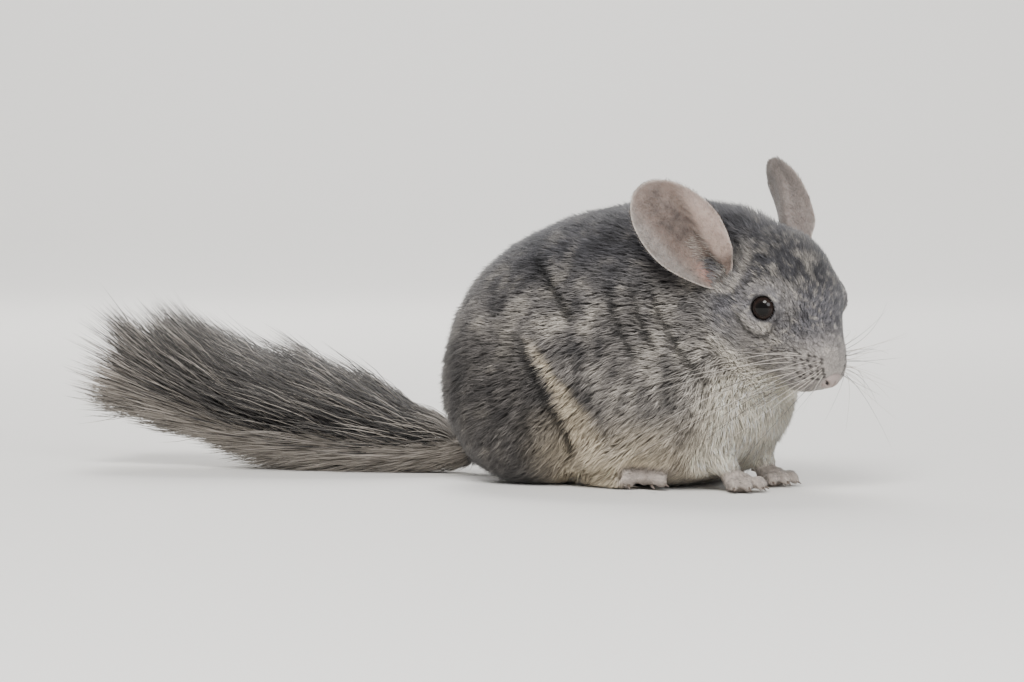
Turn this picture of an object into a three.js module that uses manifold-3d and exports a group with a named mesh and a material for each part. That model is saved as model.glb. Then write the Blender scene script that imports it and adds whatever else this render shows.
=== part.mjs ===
// A chinchilla at rest, crouched on its hind feet with the head turned to its right
// and the brush of the tail raised behind it. Sizes are in millimetres.
// +X is the way the chest faces, +Y the animal's left, +Z up, and the floor is z = 0.
import * as THREE from "three";
import { mergeVertices } from "three/addons/utils/BufferGeometryUtils.js";
import Module from "manifold-3d";

const wasm = await Module();
wasm.setup();

// Driving dimensions
const seam = 0.35; // open line between two neighbouring parts
const bodyLength = 136; // rump to chest, over the fur
const bodyWidth = 104;
const backHeight = 109;
const headLength = 63; // nose to nape
const headWidth = 50;
const eyeRadius = 5.8;
const earLength = 48;
const earWidth = 30.5; // across the ear when it is rolled flat
const earThickness = 1.3;
const crestHair = 52; // the longest hairs, on top of the tail, lying back
const forepawLength = 17;

const headPlace = new THREE.Vector3(78.5, -4, 68.5);
const headTurn = { roll: 5.4, pitch: 35, yaw: -13 };

const colours = {
  flank: 0x8b8a8c,
  haunch: 0x67676a,
  head: 0x85858a,
  ear: 0xa8968f,
  foot: 0xb5a8a2,
  foreleg: 0xc9c2b8,
  tail: 0x6a6763,
  eye: 0x0c0a0a,
};

const at = (x, y, z) => new THREE.Vector3(x, y, z);
const radians = THREE.MathUtils.degToRad;
const mix = THREE.MathUtils.lerp;
const ease = THREE.MathUtils.smoothstep;

// A seeded random number from 0 to 1, the same on every run.
let seed = 20;
function chance() {
  seed = (seed * 16807) % 2147483647;
  return seed / 2147483647;
}
const vary = (value, share) => value * (1 + share * (2 * chance() - 1));

// Soft forms: each is an ellipsoid with its centre, half sizes and turn in degrees

function form(centre, half, turn = {}) {
  const { roll = 0, pitch = 0, yaw = 0 } = turn;
  const euler = new THREE.Euler(radians(roll), radians(pitch), radians(yaw), "ZYX");
  const back = new THREE.Quaternion().setFromEuler(euler).invert();
  return { centre: at(...centre), half: at(...half), back };
}

// The same form on the animal's right and left.
function pair(centre, half, turn = {}) {
  const { roll = 0, pitch = 0, yaw = 0 } = turn;
  return [-1, 1].map((side) =>
    form([centre[0], side * centre[1], centre[2]], half, {
      roll: side * roll,
      pitch,
      yaw: side * yaw,
    }),
  );
}

const spot = new THREE.Vector3();
function distanceTo({ centre, half, back }, point) {
  spot.copy(point).sub(centre).applyQuaternion(back);
  const near = Math.hypot(spot.x / half.x, spot.y / half.y, spot.z / half.z);
  if (near < 1e-6) return -Math.min(half.x, half.y, half.z);
  const steep = Math.hypot(spot.x / half.x ** 2, spot.y / half.y ** 2, spot.z / half.z ** 2);
  return (near * (near - 1)) / steep;
}

function softMin(a, b, blend) {
  const share = Math.max(blend - Math.abs(a - b), 0) / blend;
  return Math.min(a, b) - (share * share * blend) / 4;
}

// The distance to all the forms melted together.
const melt = (forms, blend) => (point) =>
  forms.reduce((sum, each) => softMin(sum, distanceTo(each, point), blend), Infinity);

// Closed shapes

function bare(geometry) {
  geometry.deleteAttribute("normal");
  geometry.deleteAttribute("uv");
  return mergeVertices(geometry, 1e-4);
}

function reshape(geometry, move) {
  const places = geometry.getAttribute("position");
  const point = new THREE.Vector3();
  for (let i = 0; i < places.count; i++) {
    move(point.fromBufferAttribute(places, i));
    places.setXYZ(i, point.x, point.y, point.z);
  }
  return geometry;
}

// A ball drawn in from outside until it meets the field, level millimetres proud of it.
function wrap(field, centre, detail, level = 0) {
  const reach = 160;
  const ray = new THREE.Vector3();
  return reshape(bare(new THREE.IcosahedronGeometry(1, detail)), (point) => {
    ray.copy(point).normalize();
    let far = reach;
    for (let step = 0; step < 90; step++) {
      point.copy(centre).addScaledVector(ray, far);
      const gap = field(point) - level;
      far -= 0.7 * gap;
      if (gap < 0.003) break;
    }
    point.copy(centre).addScaledVector(ray, far);
  });
}

// A limb: a ball's rings drawn out along a curve. widthAt(t) gives its half width, and
// flat its height as a share of that. Its ends are round.
function limb(curve, widthAt, shape) {
  const { sides, rings, flat = 1, up = at(0, 0, 1), blunt = 0.55 } = shape;
  const along = new THREE.Vector3();
  const across = new THREE.Vector3();
  const above = new THREE.Vector3();
  return reshape(bare(new THREE.SphereGeometry(1, sides, rings)), (point) => {
    const t = Math.min(Math.max((1 - point.y) / 2, 0), 1);
    const ring = Math.hypot(point.x, point.z);
    const width = ring > 1e-4 ? (widthAt(t) * Math.pow(ring, blunt)) / ring : 0;
    curve.getTangent(t, along);
    across.crossVectors(up, along).normalize();
    above.crossVectors(along, across).normalize();
    const [x, z] = [point.x * width, point.z * width * flat];
    curve.getPoint(t, point).addScaledVector(across, x).addScaledVector(above, z);
  });
}

const line = (...points) => new THREE.CatmullRomCurve3(points.map((p) => at(...p)));

function solid(geometry) {
  const made = new wasm.Manifold(
    new wasm.Mesh({
      numProp: 3,
      vertProperties: new Float32Array(geometry.getAttribute("position").array),
      triVerts: new Uint32Array(geometry.index.array),
    }),
  );
  if (made.volume() >= 0) return made;
  const turned = geometry.index.array;
  for (let i = 0; i < turned.length; i += 3) {
    [turned[i + 1], turned[i + 2]] = [turned[i + 2], turned[i + 1]];
  }
  return solid(geometry);
}

const join = (...solids) => solids.reduce((whole, each) => whole.add(each));
const cut = (whole, ...cutters) => cutters.reduce((rest, each) => rest.subtract(each), whole);

// The largest closed piece, without sealed hollows or scraps.
function largest(whole) {
  const pieces = whole.decompose();
  return pieces.reduce((best, each) => (each.volume() > best.volume() ? each : best));
}

function geometryOf(whole) {
  const { numProp, vertProperties, triVerts } = whole.getMesh();
  const places = new Float32Array((vertProperties.length / numProp) * 3);
  for (let i = 0; i < places.length / 3; i++) {
    places.set(vertProperties.subarray(i * numProp, i * numProp + 3), i * 3);
  }
  const geometry = new THREE.BufferGeometry();
  geometry.setAttribute("position", new THREE.BufferAttribute(places, 3));
  geometry.setIndex(new THREE.BufferAttribute(new Uint32Array(triVerts), 1));
  geometry.computeVertexNormals();
  return geometry;
}

// The groups that carry the parts

const chinchilla = new THREE.Group();
const headGroup = new THREE.Group();
headGroup.position.copy(headPlace);
headGroup.rotation.set(
  radians(headTurn.roll),
  radians(headTurn.pitch),
  radians(headTurn.yaw),
  "ZYX",
);
chinchilla.add(headGroup);
chinchilla.updateMatrixWorld(true);

// Adds a solid, made where it lies, to a group as a named mesh in the group's own frame.
function add(group, name, whole, colour, roughness = 0.95) {
  const kept = geometryOf(largest(whole));
  kept.applyMatrix4(group.matrixWorld.clone().invert());
  const material = new THREE.MeshStandardMaterial({ color: colour, roughness, metalness: 0 });
  const mesh = new THREE.Mesh(kept, material);
  mesh.name = name;
  group.add(mesh);
}

const onHead = (geometry) => solid(geometry.applyMatrix4(headGroup.matrixWorld));

// Torso, neck and haunches are one soft body, parted with thin cuts

const halfBack = bodyLength / 2;
const halfWide = bodyWidth / 2;
const bodyCentre = at(4, 0, 52);
const bodyForms = [
  form([-16.5, 0, 48], [halfBack - 20, halfWide - 3, 48]),
  form([8, 0, backHeight - 53], [halfBack - 20, halfWide - 6, 50]),
  form([36, 0, backHeight - 40], [34, 35, 40], { pitch: -14 }),
  form([36, 0, 33], [30, 36, 31]),
  form([58, -2, 78], [25, 23, 27]),
  form([56, -4, 41], [22, 26, 27]),
  ...pair([-18, 27, 34], [36, 26, 34], { yaw: -8 }),
  ...pair([38, 21, 32], [25, 21, 27], { yaw: 8 }),
];
const bodyField = melt(bodyForms, 16);
const body = solid(wrap(bodyField, bodyCentre, 7));
const bodyRoom = solid(wrap(bodyField, bodyCentre, 7, seam));

// The head melts together in its own frame: x to the nose, y to its left, z to the crown.

const headHalf = headWidth / 2;
const noseTip = headLength / 2 - 1;
const eyePlace = at(2.5, headHalf - 7.4, 4);
const headCentre = at(0, 0, -2);
const headForms = [
  form([-12, 0, 2], [25, headHalf - 3, 23]),
  form([1, 0, 5], [18.5, 15, 14.5], { pitch: 14 }),
  form([11, 0, -3], [16.5, 11.8, 12.5], { pitch: 16 }),
  form([noseTip - 11, 0, -8.5], [11.5, 10, 10], { pitch: 20 }),
  ...pair([noseTip - 11.5, 6.8, -12.5], [10, 7.5, 8], { yaw: -12 }),
  ...pair([-2, 16, -9], [19, 11, 15], { yaw: -12 }),
  form([12, 0, -20], [11, 8, 5.5], { pitch: -6 }),
  form([-8, 0, -15], [22, 20, 14]),
  ...pair([3.5, 11.5, 6.5], [8, 5, 7], { yaw: -10 }),
];
const headField = melt(headForms, 6);
const skull = wrap(headField, headCentre, 7);
const headRoom = onHead(wrap(headField, headCentre, 7, seam));

// Lids, nostrils, the cleft lip and the line of the mouth

function eyeball(side, radius, sides = 12) {
  const ball = bare(new THREE.SphereGeometry(radius, sides, sides * 0.75));
  return ball.translate(eyePlace.x, side * eyePlace.y, eyePlace.z);
}

function lids(side) {
  const ring = bare(new THREE.TorusGeometry(eyeRadius - 0.7, 1.2, 6, 14)).scale(1.1, 1, 1);
  const outward = at(0.28, side * 0.93, 0.22).normalize();
  ring.applyQuaternion(new THREE.Quaternion().setFromUnitVectors(at(0, 0, 1), outward));
  return ring.translate(eyePlace.x, side * eyePlace.y, eyePlace.z).translate(
    ...outward.multiplyScalar(3.4).toArray(),
  );
}

function nostril(side) {
  const path = line(
    [noseTip + 3, side * 1.8, -11.6],
    [noseTip - 1.2, side * 3.2, -12],
    [noseTip - 2.6, side * 5.0, -10.6],
  );
  return limb(path, (t) => mix(1.1, 0.8, t), { sides: 6, rings: 6 });
}

const cleft = limb(
  line([noseTip + 1.4, 0, -12.6], [noseTip - 0.4, 0, -15.5], [noseTip - 4.5, 0, -19.6]),
  () => 1.0,
  { sides: 6, rings: 8, up: at(0, 1, 0) },
);
const mouth = limb(
  line(
    [2, -12, -18],
    [noseTip - 12.5, -9.4, -19.4],
    [noseTip - 4.5, 0, -19.6],
    [noseTip - 12.5, 9.4, -19.4],
    [2, 12, -18],
  ),
  () => 1.1,
  { sides: 6, rings: 18 },
);
const sides = { right: -1, left: 1 };
const lidRings = Object.values(sides).map((side) => onHead(lids(side)));
const sockets = Object.values(sides).map((side) => onHead(eyeball(side, eyeRadius + seam)));
const headCuts = [nostril(-1), nostril(1), cleft, mouth].map((each) => onHead(each));
const head = cut(join(onHead(skull), ...lidRings), ...sockets, ...headCuts);

// An ear is a rolled leaf: a tube at its root that opens into a broad cup. Its axis
// runs up the leaf, and the cup faces the way of facing.

const earSet = {
  right: {
    root: at(-17, -25, 4),
    axis: at(-0.77, -0.47, 0.43),
    facing: at(0.7, -0.5, 0.5),
    lean: 5,
  },
  left: {
    root: at(-20, 22, 8),
    axis: at(-0.92, 0.32, 0.22),
    facing: at(0.53, 0.8, 0.3),
    lean: 1,
  },
};

function ear({ root, axis, facing, lean }) {
  const leaf = bare(new THREE.SphereGeometry(1, 18, 12));
  reshape(leaf, (point) => {
    const rise = (point.y + 1) / 2;
    const width = (earWidth / 2) * mix(0.86, 1, ease(rise, 0, 0.5));
    const bend = mix(8, 34, ease(rise, 0, 0.75));
    const angle = (point.x * width) / bend;
    const deep = bend - (earThickness / 2) * point.z;
    const front = bend - deep * Math.cos(angle) - lean * rise * rise;
    point.set(front, -deep * Math.sin(angle), earLength * rise - 3);
  });
  const across = new THREE.Vector3().crossVectors(axis, facing).normalize();
  const front = new THREE.Vector3().crossVectors(across, axis).normalize();
  leaf.applyMatrix4(new THREE.Matrix4().makeBasis(front, across, axis.clone().normalize()));
  return leaf.translate(root.x, root.y, root.z);
}

// Legs

function digit(from, to, width) {
  const knuckle = from.clone().lerp(to, 0.55);
  knuckle.z += width * 0.7;
  const path = new THREE.CatmullRomCurve3([from, knuckle, to]);
  return solid(limb(path, () => width, { sides: 6, rings: 6 }));
}

// Digits set in a fan round the end of a foot that points along yaw, in degrees. The
// first is the outermost, so the left foot has them mirrored.
function fan(centre, yaw, digits, width, mirror) {
  const side = at(-Math.sin(radians(yaw)), Math.cos(radians(yaw)), 0);
  return digits.map(({ spread, root, reach, aside }) => {
    const turn = radians(yaw + mirror * spread);
    const ahead = at(Math.cos(turn), Math.sin(turn), 0);
    const from = centre.clone().addScaledVector(side, mirror * aside);
    from.addScaledVector(ahead, root);
    const to = from.clone().addScaledVector(ahead, reach).setZ(width * 0.92);
    return digit(from, to, width);
  });
}

const forepawSet = {
  right: { place: at(65.5, -20.5, 0), yaw: -22, elbow: at(44, -24, 34) },
  left: { place: at(65, 8.5, 0), yaw: -12, elbow: at(44, 18, 34) },
};
const forepawDigits = [
  { spread: -34, root: 1.5, reach: 5.6, aside: -3.4 },
  { spread: -10, root: 2.6, reach: 7.4, aside: -1.6 },
  { spread: 10, root: 2.8, reach: 7.6, aside: 1.2 },
  { spread: 32, root: 1.8, reach: 6.2, aside: 3.2 },
];

function palm({ place, yaw }, level = 0) {
  const centre = place.clone().setZ(3.4);
  const half = [forepawLength * 0.37, 5.2, 4].map((size) => size + level);
  return solid(wrap(melt([form(centre.toArray(), half, { yaw })], 1), centre, 2));
}

function forepaw(set, mirror) {
  const centre = set.place.clone().setZ(3.2);
  return join(palm(set), ...fan(centre, set.yaw, forepawDigits, 2.1, mirror));
}

function foreleg({ place, elbow }) {
  const wrist = at(place.x - 3, place.y, 6);
  const bent = elbow.clone().lerp(wrist, 0.55).add(at(2, 0, -1));
  const path = new THREE.CatmullRomCurve3([elbow, bent, wrist]);
  const halfWidth = (t) => mix(15, 6.6, ease(t, 0, 0.85));
  return solid(limb(path, halfWidth, { sides: 12, rings: 8, up: at(0, 1, 0) }));
}

const hindSet = {
  right: { heel: at(-10, -22, 7), toes: at(29, -35, 4) },
  left: { heel: at(-10, 22, 7), toes: at(29, 35, 4) },
};
const hindDigits = [
  { spread: -30, root: 0.5, reach: 8.5, aside: -5.2 },
  { spread: -8, root: 2.5, reach: 10.5, aside: -0.8 },
  { spread: 15, root: 1.0, reach: 9.5, aside: 4.0 },
  { spread: 34, root: -4.0, reach: 5.5, aside: 5.0 },
];

function hindFoot({ heel, toes }, mirror) {
  const shank = toes.clone().sub(heel);
  const yaw = THREE.MathUtils.radToDeg(Math.atan2(shank.y, shank.x));
  const sole = limb(
    new THREE.CatmullRomCurve3([heel, heel.clone().lerp(toes, 0.5), toes]),
    (t) => mix(7, 5.4, t),
    { sides: 12, rings: 10, flat: 0.8 },
  );
  return join(solid(sole), ...fan(toes, yaw, hindDigits, 2.6, mirror));
}

// A thigh is what the body holds inside a soft cutter.
const thighForms = (side) => [form([-24, side * 46, 30], [42, 30, 36], { yaw: side * -8 })];
function thighCutter(side, level) {
  return solid(wrap(melt(thighForms(side), 1), at(-24, side * 46, 30), 5, level));
}

// The tail: a core with flat tapered locks that lie back along it

const tailPath = line(
  [-44, 3, 16],
  [-66, -3, 9],
  [-92, -10, 8],
  [-113, -15, 8.5],
  [-132, -20, 10],
  [-152, -25, 14.5],
  [-172, -30.5, 22],
  [-193, -36, 32],
);
const coreHalf = (t) => mix(8.2, 3.6, ease(t, 0, 0.9));

// One lock from its root on the core: it leaves along out, bends to lie along the tail,
// and is turned by twist about its own line. Its tip stands off by rise of its length.
function lock({ root, out, along, length, width, twist, rise }) {
  const mid = root.clone().addScaledVector(out, length * 0.36).addScaledVector(along, length * 0.28);
  const tip = root.clone().addScaledVector(out, length * rise).addScaledVector(along, length * 0.8);
  const side = new THREE.Vector3().crossVectors(out, along).normalize();
  const line = tip.clone().sub(root).normalize();
  const thin = new THREE.Vector3().crossVectors(side, line).applyAxisAngle(line, twist);
  return limb(new THREE.CatmullRomCurve3([root, mid, tip]), (t) => width * mix(0.9, 0.16, t * t), {
    sides: 4,
    rings: 5,
    flat: 0.34,
    up: thin,
    blunt: 0.7,
  });
}

function tailLocks() {
  const locks = [];
  const rows = 13;
  const around = 6;
  const along = new THREE.Vector3();
  const place = new THREE.Vector3();
  for (let row = 0; row < rows; row++) {
    const t = mix(0.16, 1, row / (rows - 1));
    tailPath.getTangentAt(t, along);
    tailPath.getPointAt(t, place);
    const side = new THREE.Vector3().crossVectors(at(0, 0, 1), along).normalize();
    const above = new THREE.Vector3().crossVectors(along, side).normalize();
    for (let i = 0; i < around; i++) {
      const turn = ((i + (row % 2) / 2) / around) * 2 * Math.PI;
      const [aside, high] = [Math.sin(turn), Math.cos(turn)];
      const out = new THREE.Vector3().addScaledVector(side, aside).addScaledVector(above, high);
      const crest = Math.pow(Math.max(0, 0.5 + 0.5 * high), 1.6);
      const full = ease(t, 0.08, 0.42) * mix(1, 0.8, ease(t, 0.5, 1));
      const low = mix(19, 34, ease(t, 0.72, 1));
      const length = vary(mix(low, Math.max(low, mix(18, crestHair, full)), crest), 0.1);
      const root = place.clone().addScaledVector(out, coreHalf(t) * 0.45);
      const twist = (row % 2 ? 1 : -1) * mix(0.2, 1.1, crest);
      const width = mix(4.4, 6, crest);
      const rise = mix(0.64, 0.44, ease(t, 0.75, 1));
      locks.push(solid(lock({ root, out, along, length, width, twist, rise })));
    }
  }
  return locks;
}

const tailCore = solid(limb(tailPath, coreHalf, { sides: 12, rings: 22 }));
const floor = solid(bare(new THREE.BoxGeometry(600, 400, 60)).translate(0, 0, -30));
const tail = cut(join(tailCore, ...tailLocks()), bodyRoom, floor);

// The parts, each cut clear of its neighbours

const neckForm = [form([66, -2, 76], [30, 44, 44], { pitch: -20 })];
const neckCutter = (level) => solid(wrap(melt(neckForm, 1), at(66, -2, 76), 5, level));

const trunk = cut(body, headRoom, neckCutter(seam), floor);
const torso = cut(trunk, thighCutter(-1, seam), thighCutter(1, seam));
add(chinchilla, "torso", torso, colours.flank);
add(chinchilla, "neck", cut(body.intersect(neckCutter(0)), headRoom), colours.flank);
add(headGroup, "head", head, colours.head);
for (const [name, side] of Object.entries(sides)) {
  const paw = forepawSet[name];
  const mirror = -side;
  const thigh = cut(body.intersect(thighCutter(side, 0)), floor);
  const hind = cut(hindFoot(hindSet[name], mirror), bodyRoom, floor);
  const front = cut(foreleg(paw), palm(paw, seam), bodyRoom, headRoom, floor);
  add(chinchilla, "thigh_" + name, thigh, colours.haunch);
  add(chinchilla, "hind_foot_" + name, hind, colours.foot);
  add(chinchilla, "foreleg_" + name, front, colours.foreleg);
  add(chinchilla, "forepaw_" + name, cut(forepaw(paw, mirror), floor, bodyRoom), colours.foot);
  const leaf = cut(onHead(ear(earSet[name])), headRoom, bodyRoom);
  add(headGroup, "ear_" + name, leaf, colours.ear, 0.8);
  add(headGroup, "eye_" + name, onHead(eyeball(side, eyeRadius)), colours.eye, 0.08);
}
add(chinchilla, "tail", tail, colours.tail);

// The origin is the middle of the footprint, on the floor.
const middle = new THREE.Box3().setFromObject(chinchilla, true).getCenter(new THREE.Vector3());
chinchilla.position.set(-middle.x, -middle.y, 0);

export default chinchilla;
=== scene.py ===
import bpy
import bmesh
import math
import numpy as np
from mathutils import Euler, Matrix, Vector
from mathutils.bvhtree import BVHTree


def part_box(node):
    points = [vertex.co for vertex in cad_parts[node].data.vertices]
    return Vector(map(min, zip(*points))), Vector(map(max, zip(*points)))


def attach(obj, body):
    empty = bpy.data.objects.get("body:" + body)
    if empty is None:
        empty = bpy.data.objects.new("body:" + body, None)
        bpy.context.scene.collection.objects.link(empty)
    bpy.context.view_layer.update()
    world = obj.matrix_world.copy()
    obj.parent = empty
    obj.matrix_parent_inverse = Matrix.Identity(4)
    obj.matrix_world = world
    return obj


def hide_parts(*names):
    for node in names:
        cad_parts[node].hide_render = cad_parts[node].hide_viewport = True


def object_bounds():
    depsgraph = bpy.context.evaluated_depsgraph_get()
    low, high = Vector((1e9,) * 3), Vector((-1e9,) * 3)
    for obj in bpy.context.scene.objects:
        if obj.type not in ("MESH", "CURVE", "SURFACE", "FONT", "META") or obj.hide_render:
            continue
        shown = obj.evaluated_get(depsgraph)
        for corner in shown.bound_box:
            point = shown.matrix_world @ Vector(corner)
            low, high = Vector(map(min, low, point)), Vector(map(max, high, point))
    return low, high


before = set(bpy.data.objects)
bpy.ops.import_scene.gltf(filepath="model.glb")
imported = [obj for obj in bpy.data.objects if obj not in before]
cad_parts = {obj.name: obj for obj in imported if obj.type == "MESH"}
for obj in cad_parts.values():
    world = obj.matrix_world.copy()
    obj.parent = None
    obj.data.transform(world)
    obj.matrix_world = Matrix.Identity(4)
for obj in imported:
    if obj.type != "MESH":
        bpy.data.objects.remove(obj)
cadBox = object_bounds()
rng = np.random.default_rng(11)
print("frame loaded")

# The animal's own frame is in millimetres: x to the chest, y to its left, z up.
# The head has a frame of its own on it: x to the nose, y to its left, z to the crown.
headPlace = np.array([78.5, -4.0, 68.5])
headAxes = np.array(Euler([math.radians(a) for a in (5.4, 35, -13)], "XYZ").to_matrix())
eyeSpot = {"right": np.array([2.5, -17.6, 4]), "left": np.array([2.5, 17.6, 4])}
eyeRadius = 5.8


def onHead(points):
    return np.asarray(points) @ headAxes.T + headPlace


def toHead(points):
    return (points - headPlace) @ headAxes


low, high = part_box("eye_right")
shift = np.array((low + high) / 2) * 1000 - onHead(eyeSpot["right"])


def metres(points):
    return (np.asarray(points) + shift) / 1000


def ease(x, start, end):
    t = np.clip((x - start) / (end - start), 0, 1)
    return t * t * (3 - 2 * t)


def mix(a, b, t):
    return a + (b - a) * t


def unit(vectors):
    return vectors / np.maximum(np.linalg.norm(vectors, axis=-1, keepdims=True), 1e-9)


def rgb(*levels):
    # display levels from 0 to 255, made linear
    c = np.array(levels) / 255
    return np.where(c <= 0.04045, c / 12.92, ((c + 0.055) / 1.055) ** 2.4)


def cloud(points, size, seed=0):
    # smooth noise from -1 to 1, with a lump about every size millimetres
    q = points / np.asarray(size, float) + seed * 7.31
    cell = np.floor(q)
    f = q - cell
    f = f * f * (3 - 2 * f)
    total = 0
    for corner in np.ndindex(2, 2, 2):
        c = cell + corner
        h = np.sin(c @ np.array([127.1, 311.7, 74.7]) + seed * 13.7) * 43758.5453
        weight = np.prod(np.where(corner, f, 1 - f), axis=1)
        total = total + weight * (2 * (h - np.floor(h)) - 1)
    return total


# Camera, floor and light

view = {"azimuth": 30, "elevation": 3, "distance": 1450, "lens": 132.6, "aim": (-32.7, -18.7, 53.5)}


def addCamera():
    a, e = math.radians(view["azimuth"]), math.radians(view["elevation"])
    back = np.array([math.sin(a) * math.cos(e), -math.cos(a) * math.cos(e), math.sin(e)])
    data = bpy.data.cameras.new("camera")
    data.lens = view["lens"]
    data.sensor_width = 36
    data.clip_end = 20
    camera = bpy.data.objects.new("camera", data)
    camera.location = metres(np.array(view["aim"]) + back * view["distance"])
    camera.rotation_euler = Vector(back).to_track_quat("Z", "Y").to_euler()
    bpy.context.scene.collection.objects.link(camera)
    bpy.context.scene.camera = camera


def addLight(name, place, size, power, colour=(1, 1, 1), aim=(0, 0, 0.05)):
    data = bpy.data.lights.new(name, "AREA")
    data.shape = "DISK"
    data.size = size
    data.energy = power
    data.color = colour
    lamp = bpy.data.objects.new(name, data)
    lamp.location = place
    lamp.rotation_euler = (Vector(place) - Vector(aim)).to_track_quat("Z", "Y").to_euler()
    bpy.context.scene.collection.objects.link(lamp)


class Wire:
    # one output of a material's nodes, which sums and products can be written with
    def __init__(self, maker, socket):
        self.maker, self.socket = maker, socket

    def maths(self, operation, other):
        return self.maker.node("Math", {"operation": operation}, self, other)

    def __add__(self, other):
        return self.maths("ADD", other)

    __radd__ = __add__

    def __mul__(self, other):
        return self.maths("MULTIPLY", other)

    __rmul__ = __mul__

    def __pow__(self, other):
        return self.maths("POWER", other)


class Maker:
    def __init__(self, name):
        self.material = bpy.data.materials.new(name)
        self.material.use_nodes = True
        self.tree = self.material.node_tree
        self.shader = self.tree.nodes["Principled BSDF"]

    def feed(self, socket, value):
        if isinstance(value, Wire):
            self.tree.links.new(value.socket, socket)
        elif hasattr(value, "__len__") and len(value) == 3 and socket.type == "RGBA":
            socket.default_value = (*value, 1)
        else:
            socket.default_value = value

    def node(self, kind, settings=None, *values, out=0, **named):
        made = self.tree.nodes.new("ShaderNode" + kind)
        for key, value in (settings or {}).items():
            setattr(made, key, value)
        for i, value in enumerate(values):
            self.feed(made.inputs[i], value)
        for key, value in named.items():
            self.feed(made.inputs[key.replace("_", " ")], value)
        return Wire(self, made.outputs[out])

    def place(self):
        return self.node("TexCoord", out="Object")

    def noise(self, scale, detail=3):
        return self.node("TexNoise", None, Vector=self.place(), Scale=scale, Detail=detail)

    def coat(self):
        return self.node("Attribute", {"attribute_name": "coat"})

    def blend(self, share, a, b, how="MIX"):
        # colours go through Mix; its inputs 6 and 7 are the two colours
        made = self.node("Mix", {"data_type": "RGBA", "blend_type": how}, share, out=2)
        self.feed(made.socket.node.inputs[6], a)
        self.feed(made.socket.node.inputs[7], b)
        return made

    def bump(self, height, depth, strength=1):
        return self.node("Bump", None, Height=height, Distance=depth, Strength=strength)

    def finish(self, **sockets):
        for key, value in sockets.items():
            self.feed(self.shader.inputs[key.replace("_", " ")], value)
        return self.material


stageLook = {"floor": rgb(232, 230, 226), "size": 6.4, "wall": 4.5, "curve": 1.4}


def addStage():
    bm = bmesh.new()
    bmesh.ops.create_grid(bm, x_segments=1, y_segments=1, size=stageLook["size"] / 2)
    rear = [e for e in bm.edges if all(v.co.y > 0 for v in e.verts)]
    wall = bmesh.ops.extrude_edge_only(bm, edges=rear)["geom"]
    for v in (v for v in wall if isinstance(v, bmesh.types.BMVert)):
        v.co.z += stageLook["wall"]
    corner = [e for e in bm.edges if all(v.co.y > 0 and v.co.z < 0.01 for v in e.verts)]
    bmesh.ops.bevel(bm, geom=corner, offset=stageLook["curve"], segments=24, profile=0.5,
                    affect="EDGES", material=-1)
    turn = Matrix.Rotation(math.radians(view["azimuth"]), 4, "Z")
    bmesh.ops.transform(bm, matrix=turn, verts=bm.verts)
    mesh = bpy.data.meshes.new("floor")
    bm.to_mesh(mesh)
    bm.free()
    mesh.shade_smooth()
    floor = bpy.data.objects.new("floor", mesh)
    bpy.context.scene.collection.objects.link(floor)
    maker = Maker("floor")
    mesh.materials.append(maker.finish(
        Base_Color=maker.blend(maker.noise(3) * 0.3, stageLook["floor"], stageLook["floor"] * 0.93),
        Roughness=0.85,
    ))


addCamera()
addStage()
addLight("key", (0.35, -1.2, 1.45), 0.8, 34, (1, 0.985, 0.96))
addLight("fill", (0.88, -0.74, 0.62), 0.6, 7, (0.93, 0.96, 1))
addLight("back", (-0.9, 1.0, 1.1), 0.9, 14, (1, 0.99, 0.97))
addLight("wall", (-0.9, 1.5, 2.6), 1.6, 75, (1, 1, 1), (-1.4, 2.9, 0.4))
world = bpy.data.worlds.new("studio")
world.use_nodes = True
background = world.node_tree.nodes["Background"].inputs
background["Color"].default_value = (0.92, 0.92, 0.93, 1)
background["Strength"].default_value = 0.5
bpy.context.scene.world = world
print("camera, floor and light")

# The body under the coat

skinSet = {"voxel": 0.00095, "swell": 0.0004, "adaptive": 0.0002, "bodySmooth": 14, "headSmooth": 2}
faceOval = {"centre": (3, 0, -4), "half": (36, 30, 26), "reach": 0.9, "rear": -16}
overhang = {"x": 6, "aside": 28.5, "rise": 13.5, "half": (0.027, 0.0125, 0.0095), "turn": 17}
fleshNodes = ["torso", "neck", "head"] + [
    f"{part}_{side}"
    for part in ("thigh", "hind_foot", "foreleg", "forepaw")
    for side in ("right", "left")
]
tailPoints = np.array([
    [-44, 3, 16], [-66, -3, 9], [-92, -10, 8], [-113, -15, 8.5],
    [-132, -20, 10], [-152, -25, 14.5], [-172, -30.5, 22], [-193, -36, 32],
])
tailCore = {"root": 6.2, "tip": 1.9}


def smoothPath(points, count):
    # a curve through the points, evenly spaced
    ends = np.vstack([2 * points[0] - points[1], points, 2 * points[-1] - points[-2]])
    fine = []
    for a, b, c, d in zip(ends, ends[1:], ends[2:], ends[3:]):
        for t in np.linspace(0, 1, 24, endpoint=False):
            fine.append(0.5 * (2 * b + (c - a) * t + (2 * a - 5 * b + 4 * c - d) * t**2
                               + (3 * b - a - 3 * c + d) * t**3))
    fine = np.array(fine + [points[-1]])
    run = np.r_[0, np.cumsum(np.linalg.norm(np.diff(fine, axis=0), axis=1))]
    at = np.linspace(0, run[-1], count)
    return np.stack([np.interp(at, run, fine[:, k]) for k in range(3)], axis=1)


tailPath = smoothPath(tailPoints, 120)


def mergedCopy(name, swell):
    bm = bmesh.new()
    bm.from_mesh(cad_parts[name].data)
    bmesh.ops.remove_doubles(bm, verts=bm.verts, dist=1e-5)
    bm.normal_update()
    for v in bm.verts:
        v.co += v.normal * swell
    return bm


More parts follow.
